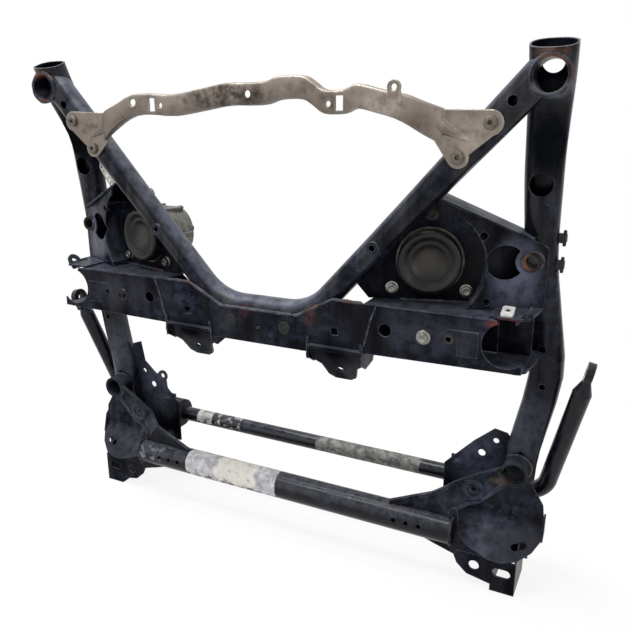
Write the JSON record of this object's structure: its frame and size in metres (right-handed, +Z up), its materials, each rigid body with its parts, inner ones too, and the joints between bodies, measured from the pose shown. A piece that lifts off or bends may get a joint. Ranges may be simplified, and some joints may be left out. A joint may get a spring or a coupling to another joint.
{
  "type": "subframe",
  "caption": "Welded tubular front-axle subframe with V crossmember, pressed crossbeam, engine mounts, alloy brace and anti-roll bar turning in rubber bushes.",
  "frame": {"origin": "middle of the bounding box at floor level, under the two end brackets it stands on", "axes": "+X across the car, +Y away from the underside that faces the camera, +Z up, towards the rear of the car"},
  "size_m": [1.0618, 0.2438, 0.8796],
  "materials": {
    "frame_black": "worn black dip coat with dust and rust spots",
    "bar_black": "black powder coat, chipped",
    "brace_alloy": "dull stained cast alloy",
    "cast_alloy": "rough casting",
    "cup_steel": "dark oxidised pressing",
    "bare_steel": "tarnished, rust at the rims",
    "zinc_steel": "zinc-plated fasteners",
    "rubber": "matt rubber",
    "clip_plastic": "black clips",
    "strip_white": "off-white perforated strip"
  },
  "bodies": {
    "frame": {"left_side_member": "frame_black", "right_side_member": "frame_black", "v_crossmember": "frame_black", "crossbeam": "frame_black", "crossbeam_cover": "frame_black", "left_rack_lug": "frame_black", "right_rack_lug": "frame_black", "left_arm_bracket": "frame_black", "right_arm_bracket": "frame_black", "left_mount_pocket": "frame_black", "right_mount_pocket": "frame_black", "left_gusset": "frame_black", "right_gusset": "frame_black", "left_rear_sleeve": "frame_black", "right_rear_sleeve": "frame_black", "left_mid_sleeve": "bare_steel", "right_mid_sleeve": "bare_steel", "left_front_sleeve": "frame_black", "right_front_sleeve": "frame_black", "front_cross_tube": "bar_black", "left_console_shell": "frame_black", "right_console_shell": "frame_black", "left_console_plate": "frame_black", "right_console_plate": "frame_black", "left_end_bracket": "frame_black", "right_end_bracket": "frame_black", "left_stabiliser_plate": "frame_black", "right_stabiliser_plate": "frame_black", "left_bar_bush": "rubber", "right_bar_bush": "rubber", "left_bush_clamp": "bar_black", "right_bush_clamp": "bar_black", "left_clamp_bolts": "zinc_steel", "right_clamp_bolts": "zinc_steel", "left_mount_cup": "cup_steel", "right_mount_cup": "cup_steel", "left_mount_body": "cast_alloy", "right_mount_body": "cast_alloy", "left_mount_stud": "bare_steel", "right_mount_stud": "bare_steel", "left_mount_bolts": "zinc_steel", "right_mount_bolts": "zinc_steel", "rear_brace": "brace_alloy", "left_brace_bolts": "zinc_steel", "right_brace_bolts": "zinc_steel", "beam_plugs": "rubber", "beam_bolts": "zinc_steel", "clip_nut": "zinc_steel", "perforated_strip": "strip_white", "cable_clips": "clip_plastic"},
    "bar": {"anti_roll_bar": "bar_black"}
  },
  "joints": [
    {"name": "bar_turn", "type": "hinge", "parent": "frame", "child": "bar", "pos_m": [0, 0.09215, 0.146], "axis": [1, 0, 0], "range_deg": [-12, 12]}
  ]
}
